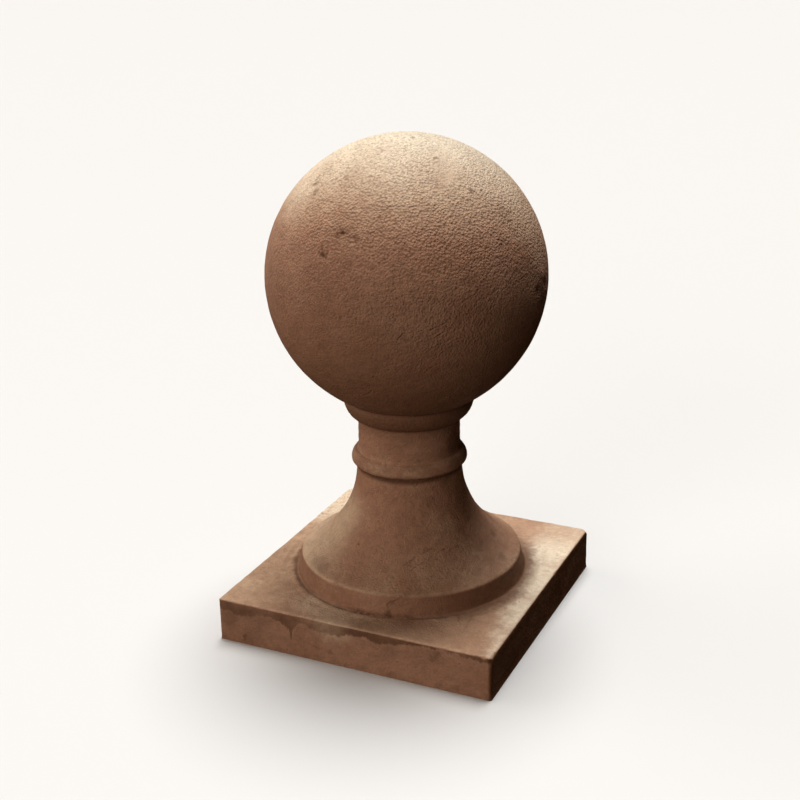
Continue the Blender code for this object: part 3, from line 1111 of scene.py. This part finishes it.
# the round step, dirt and painted shade: metres out from the cove, or across the casting
stepGrimeAndShade = {
    "foot": (-0.0035, 0.0034),           # middle and half width of the line in the angle
    "footTorn": 0.25,
    "footHeight": (0.008, 0.001),        # metres above the plinth
    "footGrain": (18, 3),
    "footBreaks": (0.40, 0.58, 0.20, 0.80),
    "halo": (-0.0005, 0.0060),           # the darker rim on the plinth's top
    "haloTorn": 0.6,
    "haloAcross": (0.04, 0.10, 0.15, 0.80),
    "rightHalo": (0.0190, -0.0005),
    "rightTorn": 1.0,
    "rightAcross": (0.070, 0.116, 0.0, 0.88),
    "acrossTorn": 2.0,
    # painted shade on the step's upright side, strongest at the right
    "sideRight": (0.03, 0.12, 0.16, 0.97),
    "sideLeft": (0.0, -0.07, 0.16, 0.50),
}


def stepStainAndShade(s):
    look = stepGrimeAndShade
    middle, half = look["foot"]
    foot = s.times(s.band(s.wander(s.radius, look["footTorn"]), coveRadius + middle, half),
                   s.spreadFrom(s.height, level["plinth"], *look["footHeight"]))
    foot = s.times(foot, s.spread(s.noise(s.where, *look["footGrain"]), *look["footBreaks"]))
    middle, half = look["halo"]
    halo = s.times(s.onTop, s.band(s.wander(s.radius, look["haloTorn"]), coveRadius + middle, half))
    halo = s.times(halo, s.spread(s.math("ABSOLUTE", s.x), *look["haloAcross"]))
    across = s.wander(s.x, look["acrossTorn"])
    rightHalo = s.spreadFrom(s.wander(s.radius, look["rightTorn"]), coveRadius, *look["rightHalo"])
    rightHalo = s.times(s.times(s.onTop, rightHalo), s.spread(across, *look["rightAcross"]))
    # painted shade on the step's side
    side = s.most(s.spread(across, *look["sideRight"]), s.spread(across, *look["sideLeft"]))
    return s.most(halo, rightHalo, foot, s.times(s.onStepSide, side))


# run-off under the plinth's top edge, in metres down from it
runOff = {
    "squash": (1.0, 1.0, 0.3),
    "grain": (30, 5, 0.65),
    "reach": (0.34, 0.70, 0.008, 0.018),
    "front": (-0.156, -0.159),
    "drip": (-0.0706, 0.013, 0.008),     # place, half width and length of the long drip, and of its tip
    "dripTip": (-0.0702, 0.0022, 0.010),
    "wanes": (-0.02, 0.09, 0.0, 0.0075),
    "wanesTorn": 2.0,
    "edge": 0.0010,
    "edgeTorn": 0.3,
    "softEnd": (-0.0016, 0.0020),
    "softStart": (-0.0004, 0.0006),
    "breakGrain": (14, 3),
    "breaks": (0.35, 0.6, 0.50, 0.95),
}


def runOffStain(s):
    along = s.vector("MULTIPLY", s.where, runOff["squash"])
    reach = s.spread(s.noise(along, *runOff["grain"]), *runOff["reach"])
    place, half, length = runOff["drip"]
    drip = s.times(s.band(s.x, place, half), length)
    place, half, length = runOff["dripTip"]
    drip = s.plus(drip, s.times(s.band(s.x, place, half), length))
    wanes = s.spread(s.wander(s.x, runOff["wanesTorn"]), *runOff["wanes"])
    onFront = s.spread(s.y, *runOff["front"])
    reach = s.plus(reach, s.times(onFront, s.minus(drip, wanes)))
    below = s.minus(level["plinth"] - runOff["edge"], s.wander(s.height, runOff["edgeTorn"]))
    stainAndShade = s.times(s.spread(s.minus(reach, below), *runOff["softEnd"]), s.spread(below, *runOff["softStart"]))
    broken = s.spread(s.noise(along, *runOff["breakGrain"]), *runOff["breaks"])
    return s.times(s.times(stainAndShade, s.onSides), broken)


def weatheredAndShadedColour(s, colour):
    darkened = s.spread(s.wander(s.height, grimeAndShade["darkenedTorn"]), *grimeAndShade["darkened"])
    darkened = s.times(s.times(s.onSides, darkened), grimeAndShade["darkenedShare"])
    # stains, and painted shade under the ball, in the groove and on the step's side
    stainedAndShaded = s.most(ballStainAndShade(s), runOffStain(s), darkened, seamStain(s), angleLine(s, "grooveStainAndShade"),
                     stepStainAndShade(s))
    colour = s.mix(stainedAndShaded, colour, stone["stainAndShade"])
    # painted shade, and dirt, on the +X side of the plinth
    dark = s.times(s.spread(s.x, *grimeAndShade["dark"]), s.spread(s.clouds, *grimeAndShade["darkGrain"]))
    colour = s.mix(s.times(s.onSides, dark), colour, stone["darkened"])
    # the darkest marks: painted shade in the angles, dirt and some painted shade in the marks, dirt in the
    # scratches and as specks
    ballPlaces = tuple((ballPoint(turn, lat), size, strength) for turn, lat, size, strength in ballMarks)
    marks = s.times(s.marks(s.jittered, ballPlaces + stemMarks), s.spread(s.flecks, *grimeAndShade["markGrain"]))
    scored = s.scratchMarks(s.jitter(s.where, *grimeAndShade["scratchShake"]), scratches)
    s.scored = s.times(scored, s.spread(s.flecks, *grimeAndShade["scratchGrain"]))
    specks = s.times(s.spread(s.flecks, *grimeAndShade["specks"]), grimeAndShade["speckShare"])
    s.dirty = s.most(angleLine(s, "groove"), angleLine(s, "neckTop"), angleLine(s, "seat"), marks, specks,
                     s.times(s.scored, grimeAndShade["scratchShare"]))
    return s.mix(s.dirty, colour, stone["dirt"])


# rubbed edges show paler stone, with a painted highlight along them: how far in or down from the edge, and half
# width
rubbedAndLit = {
    "rimIn": (-0.0015, 0.0034),
    "rimHalfHeight": 0.0028,
    "rimAcross": (0.06, -0.08, 0.7, 1.6),
    "plinthIn": (-0.0014, 0.0024),
    "plinthUnder": (-0.0006, 0.0020),
    "plinthShare": 0.6,
    "grain": (0.35, 0.6, 0.20, 0.62),
}


def rubbedAndLitColour(s, colour):
    middle, half = rubbedAndLit["rimIn"]
    rim = s.times(s.band(s.radius, rimRadius + middle, half),
                  s.band(s.height, level["step"], rubbedAndLit["rimHalfHeight"]))
    # painted highlight: stronger on the left of the step's rim
    rim = s.times(rim, s.spread(s.x, *rubbedAndLit["rimAcross"]))
    middle, half = rubbedAndLit["plinthIn"]
    out = s.most(s.math("ABSOLUTE", s.x), s.math("ABSOLUTE", s.y))
    edge = s.band(out, casting["side"] / 2 + middle, half)
    middle, half = rubbedAndLit["plinthUnder"]
    edge = s.times(edge, s.band(s.height, level["plinth"] + middle, half))
    both = s.plus(rim, s.times(edge, rubbedAndLit["plinthShare"]))
    return s.mix(s.times(both, s.spread(s.flecks, *rubbedAndLit["grain"])), colour, stone["washedAndLit"])


# speckle of the sand in the mix and drag of the strokes: noise from and to, brightness at each
speckle = {
    "grit": (0.3, 0.7, 0.90, 1.08),
    "flecks": (0.3, 0.7, 0.90, 1.09),
    "strokes": (0.3, 0.7, 0.93, 1.06),
    "cloudRoughness": (0.3, 0.7),
    "smoother": 0.07,
    "rougher": 0.10,
    "dirtRougher": 0.12,
    "fleckRelief": 0.6,                  # the rest of the grain's relief is grit
}


def speckledColour(s, colour):
    sand = s.times(s.spread(s.grit, *speckle["grit"]), s.spread(s.flecks, *speckle["flecks"]))
    sand = s.times(sand, s.spread(s.strokes, *speckle["strokes"]))
    return s.mix(1.0, colour, s.grey(sand), "MULTIPLY")


def stoneRoughness(s):
    roughness = s.spread(s.clouds, *speckle["cloudRoughness"], stone["roughness"] - speckle["smoother"],
                         stone["roughness"] + speckle["rougher"])
    return s.math("MINIMUM", s.plus(roughness, s.times(s.dirty, speckle["dirtRougher"])), 1.0)


def fineRelief(s):
    # relief too fine for the mesh
    relief = s.bump(s.times(s.peel, s.peelShare), peel["depth"])
    relief = s.bump(s.times(s.strokes, s.strokeShare), stone["strokeDepth"], relief)
    relief = s.bump(s.rest(s.scored), stone["scratchDepth"], relief)
    sand = s.plus(s.times(s.flecks, speckle["fleckRelief"]), s.times(s.grit, 1 - speckle["fleckRelief"]))
    return s.bump(sand, stone["grainDepth"], relief)


def castStoneFinish():
    s = Shader("castStone")
    findZones(s)
    stoneGrain(s)
    orangePeel(s)
    litFlank = bellLitFlank(s)
    colour = bodyColour(s, litFlank)
    colour = crownColour(s, colour)
    colour = wipedColour(s, colour, litFlank)
    colour = plinthTopColour(s, colour)
    colour = weatheredAndShadedColour(s, colour)
    colour = rubbedAndLitColour(s, colour)
    s.plug(s.out.inputs["Base Color"], speckledColour(s, colour))
    s.plug(s.out.inputs["Roughness"], stoneRoughness(s))
    s.plug(s.out.inputs["Specular IOR Level"], stone["sheen"])
    s.plug(s.out.inputs["Normal"], fineRelief(s))
    print("cast stone finish ready,", len(s.tree.nodes), "nodes")
    return s.material


def makeFinial():
    mesh = finialSkin()
    weatherSkin(mesh)
    mesh.materials.append(castStoneFinish())
    finial = bpy.data.objects.new("weatheredFinial", mesh)
    bpy.context.scene.collection.objects.link(finial)
    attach(finial, "root")
    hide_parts("ball_finial")
    mesh.calc_loop_triangles()
    print("finial skin:", len(mesh.loop_triangles), "triangles")


# floor, light and camera

studio = {
    "floorColour": (0.655, 0.665, 0.675, 1),
    "floorRoughness": 0.9,
    "floorSize": 60.0,
    "backdrop": (0.930, 0.900, 0.858, 1),    # the pale room behind the floor
    # soft lamps far off: turn and height in degrees, softness in degrees, strength, colour
    "overhead": (94, 75, 32, 4.0, (1.0, 0.97, 0.93)),
    "frontFill": (260, 12, 45, 1.56, (1.0, 0.88, 0.77)),
    "leftFill": (186, 14, 60, 1.45, (1.0, 0.90, 0.79)),
    "shadeFill": (20, 2, 160, 0.10, (1.0, 0.60, 0.32)),
}

view = {
    "turn": 25.17,                       # degrees round to the right of the front
    "down": 20.57,                       # degrees looking down
    "roll": 1.144,
    "distance": 1.491552,
    "aimHeight": 0.247836,
    "aimSide": -0.009504,
    "focalPixels": 1363.2,               # for a frame this many pixels wide
    "frame": 800,
    "sensor": 36.0,
    "nearest": 0.05,
}


def paleFloor():
    half = studio["floorSize"] / 2
    corners = [(-half, -half, 0), (half, -half, 0), (half, half, 0), (-half, half, 0)]
    mesh = bpy.data.meshes.new("paleFloor")
    mesh.from_pydata(corners, [], [(0, 1, 2, 3)])
    material = bpy.data.materials.new("paleFloor")
    material.use_nodes = True
    shader = material.node_tree.nodes["Principled BSDF"]
    shader.inputs["Base Color"].default_value = studio["floorColour"]
    shader.inputs["Roughness"].default_value = studio["floorRoughness"]
    mesh.materials.append(material)
    floor = bpy.data.objects.new("paleFloor", mesh)
    bpy.context.scene.collection.objects.link(floor)
    # the photographed finial's undersides are dark, so the floor throws no light up
    floor.visible_diffuse = False
    floor.visible_glossy = False


def softLight(name):
    turn, rise, softness, strength, colour = studio[name]
    lamp = bpy.data.lights.new(name, "SUN")
    lamp.angle = math.radians(softness)
    lamp.energy = strength
    lamp.color = colour
    light = bpy.data.objects.new(name, lamp)
    light.rotation_euler = Euler((math.radians(90 - rise), 0, math.radians(turn + 90)))
    bpy.context.scene.collection.objects.link(light)


def studioLight():
    world = bpy.data.worlds.new("paleRoom")
    bpy.context.scene.world = world
    world.use_nodes = True
    sky = world.node_tree.nodes["Background"]
    sky.inputs["Color"].default_value = studio["backdrop"]
    world.cycles_visibility.diffuse = False      # the lamps alone light the stone
    world.cycles_visibility.glossy = False
    for name in ("overhead", "frontFill", "leftFill", "shadeFill"):
        softLight(name)
    bpy.context.scene.view_settings.view_transform = "Standard"


def photoCamera():
    turn, down, roll = (math.radians(view[k]) for k in ("turn", "down", "roll"))
    backward = Vector((math.sin(turn) * math.cos(down), -math.cos(turn) * math.cos(down), math.sin(down)))
    sideways = Vector((math.cos(turn), math.sin(turn), 0))
    upward = backward.cross(sideways)
    right = math.cos(roll) * sideways - math.sin(roll) * upward
    up = math.sin(roll) * sideways + math.cos(roll) * upward
    target = Vector((0, 0, view["aimHeight"])) + right * view["aimSide"]
    data = bpy.data.cameras.new("photoCamera")
    data.sensor_width = view["sensor"]
    data.lens = view["focalPixels"] / view["frame"] * view["sensor"]
    data.clip_start = view["nearest"]
    camera = bpy.data.objects.new("photoCamera", data)
    turned = Matrix((right, up, backward)).transposed()
    camera.matrix_world = Matrix.Translation(target + backward * view["distance"]) @ turned.to_4x4()
    bpy.context.scene.collection.objects.link(camera)
    bpy.context.scene.camera = camera


makeFinial()
paleFloor()
studioLight()
photoCamera()
print("floor, light and camera placed")
